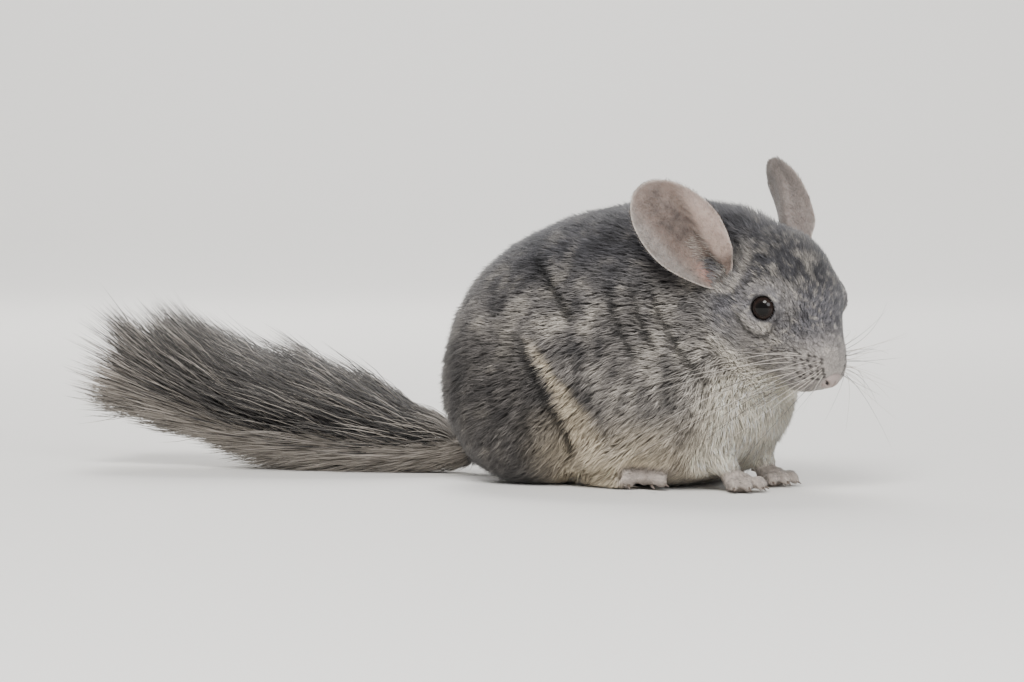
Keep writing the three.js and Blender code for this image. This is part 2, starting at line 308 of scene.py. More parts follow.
def addTailCore(bm):
    curve = bpy.data.curves.new("core", "CURVE")
    curve.dimensions = "3D"
    curve.bevel_depth = 0.001
    curve.bevel_resolution = 4
    curve.use_fill_caps = True
    spline = curve.splines.new("POLY")
    spline.points.add(len(tailPath) - 1)
    for i, (point, place) in enumerate(zip(spline.points, metres(tailPath))):
        point.co = (*place, 1)
        point.radius = mix(tailCore["root"], tailCore["tip"], ease(i / len(tailPath), 0, 1))
    holder = bpy.data.objects.new("core", curve)
    bpy.context.scene.collection.objects.link(holder)
    mesh = bpy.data.meshes.new_from_object(holder)
    bm.from_mesh(mesh)
    bpy.data.objects.remove(holder)


def buildFlesh():
    bm = bmesh.new()
    for name in fleshNodes:
        part = mergedCopy(name, skinSet["swell"])
        mesh = bpy.data.meshes.new("part")
        part.to_mesh(mesh)
        part.free()
        bm.from_mesh(mesh)
        bpy.data.meshes.remove(mesh)
    addTailCore(bm)
    for side in (-1, 1):
        # the flank's coat hangs over each hind foot
        turn = Matrix.Rotation(math.radians(overhang["turn"] * side), 4, "Z")
        place = Matrix.Translation(metres([overhang["x"], side * overhang["aside"], overhang["rise"]]))
        move = place @ turn @ Matrix.Diagonal((*overhang["half"], 1))
        bmesh.ops.create_uvsphere(bm, u_segments=32, v_segments=20, radius=1, matrix=move)
    mesh = bpy.data.meshes.new("skin")
    bm.to_mesh(mesh)
    bm.free()
    skin = bpy.data.objects.new("skin", mesh)
    bpy.context.scene.collection.objects.link(skin)
    remesh = skin.modifiers.new("remesh", "REMESH")
    remesh.mode = "VOXEL"
    remesh.voxel_size = skinSet["voxel"]
    remesh.adaptivity = skinSet["adaptive"]
    bpy.context.view_layer.update()
    done = bpy.data.meshes.new_from_object(skin.evaluated_get(bpy.context.evaluated_depsgraph_get()))
    skin.modifiers.clear()
    bm = bmesh.new()
    bm.from_mesh(done)
    places = np.array([v.co for v in bm.verts]) * 1000 - shift
    h = toHead(places)
    nearHead = np.linalg.norm((h - faceOval["centre"]) / faceOval["half"], axis=1)
    overPaw = (places[:, 0] > 62) | (places[:, 0] > -6) & (np.abs(places[:, 1]) > 26)
    nearPaw = (places[:, 2] < 11) & overPaw
    fine = (nearHead < faceOval["reach"]) & (h[:, 0] > faceOval["rear"]) | nearPaw
    rough = [v for v, f in zip(bm.verts, fine) if not f]
    everyWay = {"use_axis_x": True, "use_axis_y": True, "use_axis_z": True}
    for _ in range(skinSet["bodySmooth"]):
        bmesh.ops.smooth_vert(bm, verts=rough, factor=0.6, **everyWay)
    for _ in range(skinSet["headSmooth"]):
        bmesh.ops.smooth_vert(bm, verts=bm.verts, factor=0.5, **everyWay)
    bmesh.ops.triangulate(bm, faces=bm.faces)
    bm.normal_update()
    bm.to_mesh(done)
    bm.free()
    skin.data = done
    return skin


def readThrees(items, key, kind=float):
    values = np.zeros(len(items) * 3, kind)
    items.foreach_get(key, values)
    return values.reshape(-1, 3)


def treeOf(points):
    return BVHTree.FromPolygons([Vector(p) for p in points], faceCorners.tolist())


skin = buildFlesh()
outer = readThrees(skin.data.vertices, "co") * 1000 - shift
outerNormals = readThrees(skin.data.vertices, "normal")
faceCorners = readThrees(skin.data.polygons, "vertices", int)
print("flesh:", len(outer), "points", len(faceCorners), "triangles")

# Where things are on the animal, for the coat's depth, lie and colours

noseSpot = np.array([29.6, 0, -11.4])
pawLine = {"right": np.array([[44, -24, 34], [54, -22, 18], [65.5, -20.5, 3]]),
           "left": np.array([[44, 18, 34], [54, 13, 18], [65, 8.5, 3]])}
hindLine = {"right": np.array([[-10, -22, 6], [29, -35, 4], [40, -39.5, 2]]),
            "left": np.array([[-10, 22, 6], [29, 35, 4], [40, 39.5, 2]])}

# folds of the coat: on the head in its frame, on the body in the animal's own
headFolds = [
    (1.0, 1.0, [[-1.3, 25.9, -2.7], [3.4, 25.3, -4.7], [8.6, 23.3, -5.3], [11.3, 20.8, -3.6],
                  [11.3, 19, -0.1], [10, 18.5, 3]]),
    (0.7, 1.0, [[-7.5, 24.9, 0.9], [-7.9, 22.6, 5.4], [-6.6, 20.3, 9.8], [-3.7, 17.9, 13.9],
                [0.2, 15.3, 16.4], [4.3, 13.8, 16.6]]),
    (2.4, 1.4, [[-44.6, 12.6, 15.7], [-35.8, 14.3, 18.1], [-27.5, 16.1, 18.3], [-21, 17.7, 16.3],
                [-17.1, 19.7, 13.5], [-15.2, 22.6, 9.7], [-13.7, 26.2, 4.8]]),
]
bodyFolds = [
    (2.2, 1.8, [[-12, 34, 88], [-6.6, 39, 83.7], [2.8, 44.4, 74.7], [9.3, 46.7, 65.6]]),
    (1.5, 1.8, [[-9, 53, 58], [-5, 53, 48.7], [0.7, 52, 37.6], [5, 48, 26.3], [7.3, 40.7, 14.7],
                [10.5, 35, 6]]),
    (2.0, 1.5, [[38, 35, 78], [42, 37.5, 68], [50, 37, 56], [60, 35, 44]]),
    (1.7, 1.5, [[32, 38, 76], [36, 39.5, 64], [44, 39.5, 52], [53, 38, 40]]),
    (1.4, 1.6, [[24, 41, 74], [28, 42.5, 62], [35, 42.5, 50]]),
]


# each digit's spread in degrees, root, reach and place aside in millimetres
foreDigits = [(-34, 1.5, 5.6, -3.4), (-10, 2.6, 7.4, -1.6), (10, 2.8, 7.6, 1.2), (32, 1.8, 6.2, 3.2)]
hindDigits = [(-30, 0.5, 8.5, -5.2), (-8, 2.5, 10.5, -0.8), (15, 1, 9.5, 4), (34, -4, 5.5, 5)]
feet = [
    ((65.5, -20.5), -22, foreDigits, 1, 2.1), ((65, 8.5), -12, foreDigits, -1, 2.1),
    ((29, -35), -18.4, hindDigits, 1, 2.6), ((29, 35), 18.4, hindDigits, -1, 2.6),
]


def digitLine(foot, digit):
    # the root and tip of one digit, seen from above
    (x, y), yaw, _, mirror, width = foot
    spread, start, reach, place = digit
    aside = np.array([-math.sin(math.radians(yaw)), math.cos(math.radians(yaw))])
    turn = math.radians(yaw + mirror * spread)
    ahead = np.array([math.cos(turn), math.sin(turn)])
    root = np.array([x, y]) + aside * mirror * place + ahead * start
    return root, root + ahead * (reach + width * 0.3), ahead


toeGaps, toes = [], []
toeGapShape = {"depth": 0.9, "width": 0.75, "squash": (1, 1, 0.6)}
# below this height in millimetres a point may be on a toe, and this far off it is on none
toeHeight, noToe = 9, 20.0
for foot in feet:
    ends = [digitLine(foot, digit)[:2] for digit in foot[2]]
    toes += [np.array([[*root, 3.2], [*tip, 2.2]]) for root, tip in ends]
    for (rootA, tipA), (rootB, tipB) in zip(ends, ends[1:]):
        start, end = mix(rootA, tipA, 0.2) + mix(rootB, tipB, 0.2), tipA + tipB
        toeGaps.append(np.array([[*start / 2, 6.5], [*end / 2, 3]]))


def lineDistance(points, line):
    best = np.full(len(points), 1e9)
    for a, b in zip(line, line[1:]):
        t = np.clip((points - a) @ (b - a) / np.dot(b - a, b - a), 0, 1)
        best = np.minimum(best, np.linalg.norm(points - a - t[:, None] * (b - a), axis=1))
    return best


def foldsAt(points, h):
    # how deep each point lies in the folds, in millimetres
    deep = np.zeros(len(points))
    for frameOf, folds in ((h, headFolds), (points, bodyFolds)):
        twin = frameOf * [1, -1, 1]
        for depth, width, line in folds:
            line = np.array(line)
            gap = np.minimum(lineDistance(frameOf, line), lineDistance(twin, line))
            deep = np.maximum(deep, depth * np.exp(-((gap / width) ** 2)))
    low = np.flatnonzero(points[:, 2] < toeHeight)
    flat = toeGapShape["squash"]
    for line in toeGaps:
        gap = lineDistance(points[low] * flat, line * flat)
        hollow = toeGapShape["depth"] * np.exp(-((gap / toeGapShape["width"]) ** 2))
        deep[low] = np.maximum(deep[low], hollow)
    return deep


headOval = {"centre": (0, 0, -4), "half": (37, 29, 26)}
tailReach = 7.6


def regions(points):
    h = toHead(points)
    fromHead = np.linalg.norm((h - headOval["centre"]) / headOval["half"], axis=1)
    r = {"h": h, "head": (1 - ease(fromHead, 0.98, 1.3)) * ease(h[:, 0], -30, -14)}
    r["nose"] = np.linalg.norm(h - noseSpot, axis=1)
    r["eye"] = np.minimum(*[np.linalg.norm(h - e, axis=1) for e in eyeSpot.values()])
    r["fold"] = foldsAt(points, h)
    rear = points[:, 0] < -64
    r["tail"] = np.zeros(len(points))
    far = np.linalg.norm(points[rear][:, None, :] - tailPath[None, ::2, :], axis=2)
    r["tail"][rear] = far.min(axis=1) < tailReach
    r["paw"] = np.minimum(*[
        np.linalg.norm((points - line[-1] - [2, 0, 0]) * [0.9, 0.9, 1.7], axis=1)
        for line in pawLine.values()
    ])
    r["foreleg"] = np.minimum(*[lineDistance(points, line) for line in pawLine.values()])
    r["hind"] = np.minimum(*[lineDistance(points, line) for line in hindLine.values()])
    r["toes"] = np.full(len(points), noToe)
    near = np.flatnonzero(points[:, 2] < toeHeight)
    r["toes"][near] = np.min([lineDistance(points[near], line) for line in toes], axis=0)
    return r


def coatDepth(points, r):
    depth = mix(6.6, 7.6, ease(points[:, 2], 30, 90))
    depth = mix(4.2, depth, ease(points[:, 2], 1, 22))
    face = mix(0.6, 2.6, ease(r["nose"], 5, 34))
    face = face + 1.8 * ease(r["nose"], 34, 60)
    face = face * mix(0.12, 1, ease(r["eye"], 6, 12)) * mix(0.1, 1, ease(r["nose"], 3, 9))
    depth = mix(depth, face, r["head"])
    low = 1 - ease(points[:, 2], 8, 26)
    depth = mix(depth, 2.0, low * (1 - ease(r["foreleg"], 8, 14)))
    depth = mix(depth, 0.35, 1 - ease(r["paw"], 8, 11))
    sole = (1 - ease(r["hind"], 6, 9)) * (1 - ease(points[:, 2], 7, 9.5)) * ease(points[:, 0], 20, 27)
    depth = mix(depth, 1.0, sole)
    depth = mix(depth, 0.3, 1 - ease(r["toes"], 3.2, 5))
    return depth * (1 - r["tail"])


region = regions(outer)
outer = outer - outerNormals * region["fold"][:, None]
depth = coatDepth(outer, region)
inner = outer - outerNormals * depth[:, None]
inner[:, 2] = np.maximum(inner[:, 2], 0.05)

# Colours of the coat, the same for the skin and the hair

coatColours = {
    "slate": rgb(48, 47, 51), "back": rgb(84, 83, 87), "flank": rgb(137, 132, 128),
    "light": rgb(204, 196, 184), "cream": rgb(222, 206, 178), "white": rgb(250, 240, 220),
    "haunch": rgb(78, 74, 72), "face": rgb(122, 120, 124), "muzzle": rgb(204, 196, 189),
    "foot": rgb(196, 184, 174), "ground": rgb(60, 58, 59), "pink": rgb(170, 156, 150),
    "stem": rgb(158, 150, 141), "crest": rgb(52, 50, 49), "tailTip": rgb(204, 196, 186),
    "dot": rgb(48, 44, 44),
}


def tint(base, colour, share):
    return base + (colour - base) * np.clip(share, 0, 1)[:, None]


def follicles():
    # the whiskers' roots: rows along the muzzle, in the head's frame for its right side
    spots = []
    for row in range(6):
        for k in range(5):
            spots.append([19.2 + 2.5 * k + 1.15 * row, -13.9 + 1.0 * k + 0.3 * row + 0.12 * k * k,
                          -4.6 + 0.75 * k - 1.5 * row])
    return np.array(spots) + 0.45 * rng.normal(size=(30, 3)) * [1, 0.3, 1]


mouthLine = np.array([
    [29, 0, -14.5], [28.3, 0.6, -17.3], [26, 3.2, -19.6], [22, 5.6, -21.4], [16, 8.5, -20.5],
])
whiskerRoots = follicles()
surface, fleshTree = treeOf(outer), treeOf(inner)
for n, spot in enumerate(whiskerRoots):
    whiskerRoots[n] = toHead(np.array(surface.find_nearest(Vector(onHead(spot)))[0]))
# the haunch's front edge: heights, and how far forwards it lies at each
haunchEdge = [6, 14.7, 26.3, 37.6, 48.7, 58], [10.5, 7.3, 5, 0.7, -5, -12]


def coatColour(points, normals, r):
    c = coatColours
    x, y, z = points.T
    h = r["h"]
    base = np.tile(c["flank"], (len(points), 1))
    top = ease(z + 12 * normals[:, 2] + 4 * cloud(points, 9, 3), 64, 98)
    base = tint(base, c["back"], top)
    # short wavy marks that run across the lie of the hair
    wave = cloud(points * [1, 0.42, 0.42], 3.4, 5) + 0.6 * cloud(points * [1, 0.5, 0.5], 1.7, 6)
    wave = wave + 0.5 * cloud(points, 9, 7)
    base = tint(base, c["light"], mix(0.75, 0.3, top) * ease(wave, 0.1, 1.0))
    base = tint(base, c["slate"], mix(0.75, 0.8, top) * ease(-wave, 0.05, 0.9))
    # how far in front of the haunch's edge, which slants down and forwards
    ahead = x - np.interp(z, haunchEdge[0], haunchEdge[1]) + 1.2 * cloud(points, 5, 14)
    speck = cloud(points, 1.5, 10)
    side = ease(np.abs(y), 12, 26)
    low = 0.85 * side * (1 - ease(ahead, -3, 1.5)) * (1 - ease(z, 46, 70)) * ease(x, -72, -54)
    base = tint(base, c["haunch"] * 0.8, low * (1 - 0.6 * ease(speck, 0, 0.5)))
    # the pale band in front of each haunch, and the pale underside
    wide = mix(15, 5, ease(z, 12, 52))
    edge = side * ease(ahead, -0.5, 2) * (1 - ease(ahead / wide, 0.55, 1)) * (1 - ease(z, 46, 60))
    base = tint(base, c["cream"], 0.85 * edge)
    belly = (1 - ease(z + 5 * cloud(points, 11, 8), 10, 32)) * ease(x, -18, 8)
    base = tint(base, c["cream"], 0.75 * belly * (1 - 0.4 * ease(-wave, 0.1, 0.8)))
    flank = ease(x, 4, 16) * (1 - ease(z + 4 * cloud(points, 9, 15), 30, 62)) * (1 - ease(x, 50, 66))
    base = tint(base, c["light"], 0.25 * flank * (1 - 0.7 * ease(-wave, 0, 0.7)))
    neck = side * ease(x, 26, 36) * ease(z, 24, 40) * (1 - ease(z, 66, 84))
    base = tint(base, c["light"], 0.35 * neck * ease(cloud(points * [1, 1, 0.3], 4, 16), -0.5, 0.5))
    chest = ease(x + 0.3 * cloud(points, 9, 18), 52, 66) * (1 - ease(z + 3 * cloud(points, 8, 9), 36, 50))
    base = tint(base, c["white"], 0.95 * chest)
    # the face: darker on the crown, paler round the eye and on the muzzle, white below
    crown = ease(h[:, 2] - 0.25 * h[:, 0], 8, 19)
    face = tint(np.tile(c["face"], (len(points), 1)), c["back"] * 0.7, crown)
    fleck = cloud(points, 1.3, 12) + 0.5 * cloud(points * [1, 1, 0.5], 2.6, 13)
    face = tint(face, c["slate"], mix(0.6, 0.85, crown) * ease(fleck, 0.1, 0.8))
    face = tint(face, c["light"], mix(0.6, 0.5, crown) * ease(-fleck, 0.15, 0.8))
    streak = cloud(h * [0.35, 1, 1], 3.2, 17)
    face = tint(face, c["light"], 0.5 * crown * ease(streak, 0.35, 0.8))
    halo = np.exp(-(((r["eye"] - 9.5) / 2.6) ** 2)) * ease(h[:, 2], -2, 9)
    face = tint(face, c["light"], 0.25 * halo)
    front = np.array(headFolds[2][2])
    gap = np.minimum(lineDistance(h, front), lineDistance(h * [1, -1, 1], front))
    face = tint(face, c["light"], 0.6 * np.exp(-(((gap - 3.2) / 1.3) ** 2)))
    cheek = ease(h[:, 0], -12, 8) * (1 - ease(h[:, 2], -6, 4))
    face = tint(face, c["light"], 0.4 * cheek)
    under = np.exp(-(((r["eye"] - 8.6) / 2.0) ** 2)) * (1 - ease(h[:, 2], -4, 3))
    face = tint(face, c["light"], 0.45 * under)
    face = tint(face, c["slate"] * 0.6, 0.9 * (1 - ease(r["eye"], 6.3, 7.3)))
    face = tint(face, c["muzzle"], 0.9 * (1 - ease(r["nose"], 8, 24)) * (1 - 0.3 * ease(fleck, 0.2, 0.8)))
    throat = (1 - ease(h[:, 2] + 0.3 * h[:, 0], -18, -10)) * ease(h[:, 0], -16, 4)
    face = tint(face, c["white"], throat)
    twin = h * [1, -1, 1]
    dot = np.full(len(points), 9.0)
    close = r["nose"] < 24
    for spot in whiskerRoots:
        gap = np.minimum(np.linalg.norm((h[close] - spot) * [0.7, 0.7, 1.25], axis=1),
                         np.linalg.norm((twin[close] - spot) * [0.7, 0.7, 1.25], axis=1))
        dot[close] = np.minimum(dot[close], gap)
    face = tint(face, c["dot"], 0.85 * (1 - ease(dot, 0.35, 0.95)))
    # painted shade: a dark line along the mouth's groove
    mouthShadeGap = np.minimum(lineDistance(h, mouthLine), lineDistance(twin, mouthLine))
    face = tint(face, c["dot"], 0.8 * (1 - ease(mouthShadeGap, 0.3, 0.9)))
    base = base + (face - base) * r["head"][:, None]
    base = tint(base, c["pink"], 1 - ease(r["nose"], 3.2, 5))
    low = 1 - ease(z, 12, 30)
    base = tint(base, c["white"], 0.8 * low * (1 - ease(r["foreleg"], 9, 15)))
    base = tint(base, c["foot"], 1 - ease(r["paw"], 8, 11))
    hind = 1 - ease(r["hind"], 7, 12)
    base = tint(base, c["cream"], 0.8 * hind * (1 - ease(z, 12, 18)))
    base = tint(base, c["foot"], hind * (1 - ease(z, 7, 9.5)) * ease(x, 20, 27))
    base = tint(base, c["foot"], 1 - ease(r["toes"], 3.4, 5.5))
    return base + (np.tile(c["stem"], (len(points), 1)) - base) * r["tail"][:, None]


skinColour = coatColour(outer, outerNormals, region)


def setColour(mesh, name, colours):
    layer = mesh.color_attributes.new(name, "FLOAT_COLOR", "POINT")
    full = np.ones((len(colours), 4), np.float32)
    full[:, :3] = colours
    layer.data.foreach_set("color", full.ravel())


def finishSkin():
    mesh = skin.data
    mesh.vertices.foreach_set("co", metres(inner).astype(np.float32).ravel())
    mesh.update()
    mesh.shade_smooth()
    shade = mix(0.62, 1, 1 - ease(depth, 0.4, 2.5))
    setColour(mesh, "coat", skinColour * shade[:, None])
    bpy.context.view_layer.objects.active = skin
    skin.select_set(True)
    bpy.ops.object.mode_set(mode="EDIT")
    bpy.ops.mesh.select_all(action="SELECT")
    bpy.ops.uv.smart_project(angle_limit=math.radians(70), island_margin=0.002)
    bpy.ops.object.mode_set(mode="OBJECT")
    mesh.uv_layers[0].name = "OFBake"
    maker = Maker("skin")
    coat = maker.coat()
    grain = maker.noise(1400, 4)
    pore = maker.noise(3200, 2)
    mesh.materials.append(maker.finish(
        Base_Color=maker.blend(grain * 0.5, coat, (0.1, 0.09, 0.09), "MULTIPLY"),
        Roughness=0.62 + 0.2 * pore,
        Normal=maker.bump(grain + 0.5 * pore, 0.0004, 0.7),
    ))
    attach(skin, "root")
    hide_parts(*fleshNodes)


finishSkin()
skinUv = np.zeros(len(skin.data.loops) * 2)
skin.data.uv_layers["OFBake"].data.foreach_get("uv", skinUv)
skinUv = skinUv.reshape(-1, 3, 2)
print("skin done")

# Strands are many thin closed tubes that taper to a point, joined as one mesh


def furMaterial(name, roughness=0.55, sheen=0.25):
    maker = Maker(name)
    coat = maker.coat()
    streak = maker.noise(900, 3)
    maker.shader.inputs["Sheen Weight"].default_value = sheen
    maker.shader.inputs["Sheen Roughness"].default_value = 0.5
    maker.shader.inputs["Specular IOR Level"].default_value = 0.2
    return maker.finish(
        Base_Color=maker.blend(streak * 0.35, coat, (0.35, 0.34, 0.34), "MULTIPLY"),
        Roughness=roughness + 0.2 * streak,
        Normal=maker.bump(streak, 0.0002, 0.4),
    )


# each hair's patch on the unwrap: its own size, and how far patches on one spot spread
hairPatch = {"size": 0.003, "spread": 0.004}


def strands(name, lines, widths, colours, patches, normals, material, sides=3, plush=0.7):
    # lines is strand by ring by xyz in millimetres; both ends are drawn to a point
    amount, rings = lines.shape[0], lines.shape[1]
    along = unit(np.gradient(lines, axis=1))
    side = unit(np.cross(normals[:, None, :], along))
    above = np.cross(along, side)
    body = lines[:, 1:-1]
    corners, outward = [], []
    for k in range(sides):
        turn = 2 * math.pi * (k + 0.25) / sides
        spoke = side * math.cos(turn) + above * math.sin(turn)
        corners.append(body + spoke[:, 1:-1] * widths[:, 1:-1, None] / 2)
        outward.append(spoke[:, 1:-1])
    # a strand's points: its root, ring by ring, then its tip
    inside = sides * (rings - 2)
    each = inside + 2
    points = np.zeros((amount, each, 3))
    shading = np.zeros_like(points)
    points[:, 0], points[:, -1] = lines[:, 0], lines[:, -1]
    shading[:, 0], shading[:, -1] = normals, normals
    points[:, 1:-1] = np.stack(corners, axis=2).reshape(amount, inside, 3)
    shading[:, 1:-1] = np.stack(outward, axis=2).reshape(amount, inside, 3)
    shading = unit(mix(unit(shading), normals[:, None, :], plush))
    middle = np.repeat(colours[:, 1:-1], sides, axis=1)
    tone = np.concatenate([colours[:, :1], middle, colours[:, -1:]], axis=1)
    loop = [(k, (k + 1) % sides) for k in range(sides)]
    faces = [(0, 1 + n, 1 + k) for k, n in loop]
    for ring in range(rings - 3):
        first = 1 + ring * sides
        for k, n in loop:
            faces += [(first + k, first + n, first + n + sides)]
            faces += [(first + k, first + n + sides, first + k + sides)]
    last = 1 + (rings - 3) * sides
    faces += [(last + k, last + n, each - 1) for k, n in loop]
    faces = np.array(faces)
    grid = np.zeros((each, 2))
    for i in range(each):
        ring = 0 if i == 0 else rings - 1 if i == each - 1 else 1 + (i - 1) // sides
        across = 0.5 if i in (0, each - 1) else ((i - 1) % sides) / (sides - 1)
        grid[i] = (across - 0.5, ring / (rings - 1) - 0.5)
    uv = patches[:, None, :] + grid[None] * hairPatch["size"]
    index = (faces[None] + np.arange(amount)[:, None, None] * each).reshape(-1)
    mesh = bpy.data.meshes.new(name)
    mesh.vertices.add(amount * each)
    mesh.vertices.foreach_set("co", metres(points.reshape(-1, 3)).astype(np.float32).ravel())
    mesh.loops.add(len(index))
    mesh.loops.foreach_set("vertex_index", index.astype(np.int32))
    mesh.polygons.add(len(index) // 3)
    mesh.polygons.foreach_set("loop_start", np.arange(0, len(index), 3, dtype=np.int32))
    mesh.update(calc_edges=True)
    layer = mesh.uv_layers.new(name="OFBake")
    layer.data.foreach_set("uv", uv.reshape(-1, 2)[index].astype(np.float32).ravel())
    setColour(mesh, "coat", tone.reshape(-1, 3))
    mesh.shade_smooth()
    mesh.normals_split_custom_set_from_vertices(shading.reshape(-1, 3).tolist())
    mesh.materials.append(material)
    piece = bpy.data.objects.new(name, mesh)
    bpy.context.scene.collection.objects.link(piece)
    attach(piece, "root")
    print(name, amount, "strands", len(index) // 3, "triangles")
    return piece


def sample(density, amount):
    # roots spread over the skin's triangles, thick where density is high
    a, b, c = (outer[faceCorners[:, k]] for k in range(3))
    area = np.linalg.norm(np.cross(b - a, c - a), axis=1) / 2 * density[faceCorners].mean(axis=1)
    run = np.cumsum(area)
    where = np.searchsorted(run, (np.arange(amount) + rng.random(amount)) / amount * run[-1])
    where = np.minimum(where, len(area) - 1)
    u, v = rng.random((2, amount))
    fold = u + v > 1
    u, v = np.where(fold, 1 - u, u), np.where(fold, 1 - v, v)
    share = np.stack([1 - u - v, u, v], axis=1)
    corner = faceCorners[where]

    def pick(values):
        return (values[corner] * share[:, :, None]).sum(axis=1)

    return {
        "root": pick(inner), "outer": pick(outer), "normal": unit(pick(outerNormals)),
        "depth": pick(depth[:, None])[:, 0], "colour": pick(skinColour),
        "uv": (skinUv[where] * share[:, :, None]).sum(axis=1),
    }


def lieOf(points, normals, r):
    # the way the hair lies: back from the nose, down the sides, down the legs
    x, y, z = points.T
    down = 0.25 + 0.9 * (1 - ease(z, 8, 62)) + 0.9 * ease(x, 50, 66) * (1 - ease(z, 46, 60))
    body = np.stack([-np.ones(len(x)) * mix(1, 0.35, ease(x, 52, 66) * (1 - ease(z, 46, 60))),
                     0.25 * np.sign(y) * ease(np.abs(y), 5, 30), -down], axis=1)
    fromNose = (r["h"] - noseSpot - [2, 0, 1]) * [1, 1, 0.8]
    head = unit(unit(fromNose) + [-0.5, 0, 0]) @ headAxes.T
    leg = (1 - ease(z, 10, 30)) * (1 - ease(r["foreleg"], 9, 15))
    lie = body + (unit(head) - body) * r["head"][:, None]
    lie = lie + (np.array([0.45, 0, -1]) - lie) * leg[:, None]
    foot = (1 - ease(r["hind"], 6, 9)) * (1 - ease(z, 7, 9.5)) * ease(x, 20, 27)
    lie = lie + (np.array([1, 0, -0.2]) - lie) * foot[:, None]
    wander = [cloud(points, 13, 21 + k) + 0.5 * cloud(points, 5, 31 + k) for k in range(3)]
    lie = unit(lie) + 0.34 * np.stack(wander, axis=1)
    lie = lie - (lie * normals).sum(axis=1, keepdims=True) * normals
    return unit(lie)


# strands on each part, then the body's own width, reach and clump in millimetres, and
# how high a strand's root, middle and tip stay over the floor
coat = {"body": 106000, "face": 60000, "legs": 17000, "width": 0.3, "reach": 4.6, "clump": 2.6,
        "floor": (0.35, 0.5, 0.4)}


def clumped(points, size, seed):
    # the middle of each point's clump, from a jittered grid
    cell = np.floor(points / size)
    best, where = np.full(len(points), 1e9), np.zeros_like(points)
    for step in np.ndindex(3, 3, 3):
        c = cell + np.array(step) - 1
        jitter = np.stack([
            np.modf(np.abs(np.sin(c @ np.array(k) + seed)) * 4375.85)[0]
            for k in ((12.9, 78.2, 37.7), (39.3, 11.1, 83.1), (73.1, 52.2, 9.2))
        ], axis=1)
        middle = (c + jitter) * size
        gap = np.linalg.norm(points - middle, axis=1)
        near = gap < best
        best = np.where(near, gap, best)
        where = np.where(near[:, None], middle, where)
    return where


def growCoat(name, density, amount, width, reach, size, material, pieces=1):
    s = sample(density, amount)
    r = regions(s["outer"])
    lie = lieOf(s["outer"], s["normal"], r)
    n = s["normal"]
    long = reach(s, r) * (0.7 + 0.6 * rng.random(amount)) * (1 - 0.4 * np.clip(r["fold"], 0, 1))
    middle = clumped(s["outer"], size, 3.1)
    pull = middle - s["outer"]
    pull = pull - (pull * n).sum(axis=1, keepdims=True) * n
    swell = 1 + 0.1 * cloud(s["outer"], 7, 41)
    rise = s["depth"] * (0.74 + 0.24 * rng.random(amount)) * swell
    stray = 0.1 * rng.normal(size=(amount, 3)) * long[:, None]
    tip = s["root"] + n * rise[:, None] + lie * long[:, None] + pull * 0.42 + stray
    tip = tip - n * (long**2 / 110)[:, None]
    half = s["root"] + n * (rise * 0.72)[:, None] + lie * (long * 0.42)[:, None] + pull * 0.2
    root = s["root"] - n * 0.25
    for place, least in zip((root, half, tip), coat["floor"]):
        place[:, 2] = np.maximum(place[:, 2], least)
    lines = np.stack([root, half, tip], axis=1)
    wide = width(s, r) * (0.7 + 0.6 * rng.random(amount))
    widths = np.stack([wide * 0, wide, wide * 0], axis=1)
    deep = ease(s["depth"], 0.5, 4)
    each = rng.choice([0.58, 0.86, 1.06, 1.34], amount, p=[0.2, 0.3, 0.3, 0.2])
    each = each * (1 + 0.09 * rng.normal(size=amount)) * (1 + 0.16 * np.sin(97 * middle.sum(axis=1)))
    each = mix(1, each, mix(0.8, 1, deep))[:, None]
    band = coatColour(half, n, regions(half)) * each
    end = coatColour(tip, n, regions(tip)) * each
    dark = (0.5 * deep * (rng.random(amount) < 0.4) * (1 - ease(end.mean(axis=1), 0.35, 0.6)))[:, None]
    pale = ease(band.mean(axis=1), 0.3, 0.6)
    shade = 0.5 * deep * (1 - 0.7 * pale)
    ground = tint(band * mix(0.45, 0.7, pale)[:, None], coatColours["ground"], shade)
    # painted shade: hairs in the coat's folds are darkened in their middle and at their tip
    fold = (1 - 0.68 * np.clip(r["fold"], 0, 1.2))[:, None]
    band = mix(band, ground, 0.25 * deep[:, None])
    colours = np.stack([ground, band * fold, end * (1 - dark) * fold], axis=1)
    colours = np.clip(colours, 0.003, 0.95)
    for k in range(pieces):
        part = slice(k, None, pieces)
        label = name if pieces == 1 else f"{name}_{k + 1}"
        strands(label, lines[part], widths[part], colours[part], s["uv"][part], n[part], material)


bodyFur = furMaterial("body_fur")
faceFur = furMaterial("face_fur")
bare = region["tail"]
headShare = np.clip(region["head"], 0, 1)
noEye = ease(region["eye"], 6.1, 6.9)
onFoot = (1 - ease(region["hind"], 8, 12)) * (outer[:, 2] < 11) * ease(outer[:, 0], 20, 27)
onToes = 1 - ease(region["toes"], 3.4, 5)
legShare = np.maximum(np.maximum(1 - ease(region["paw"], 11, 20), onFoot), onToes)
growCoat("body_coat", (1 - headShare) * (1 - legShare) * (1 - bare), coat["body"],
         lambda s, r: coat["width"] + 0 * s["depth"],
         lambda s, r: mix(2.5, coat["reach"], ease(s["depth"], 1.5, 6))
         + 3.5 * (1 - ease(s["outer"][:, 2], 8, 20)),
         coat["clump"], bodyFur, 4)
faceDense = mix(2.4, 1, ease(region["nose"], 10, 34))
growCoat("face_coat", headShare * noEye * ease(region["nose"], 2.6, 4.5) * faceDense,
         coat["face"],
         lambda s, r: mix(0.16, 0.25, ease(r["nose"], 6, 40)),
         lambda s, r: mix(0.8, 2.9, ease(r["nose"], 5, 50)) * mix(0.45, 1, ease(r["eye"], 6, 13)),
         1.5, faceFur, 2)
growCoat("leg_coat", legShare * (1 - headShare) * (1 - bare), coat["legs"],
         lambda s, r: mix(0.17, 0.28, ease(s["depth"], 0.4, 3)),
         lambda s, r: mix(1.2, 3.6, ease(s["depth"], 0.4, 3)),
         1.6, bodyFur)

# Tail

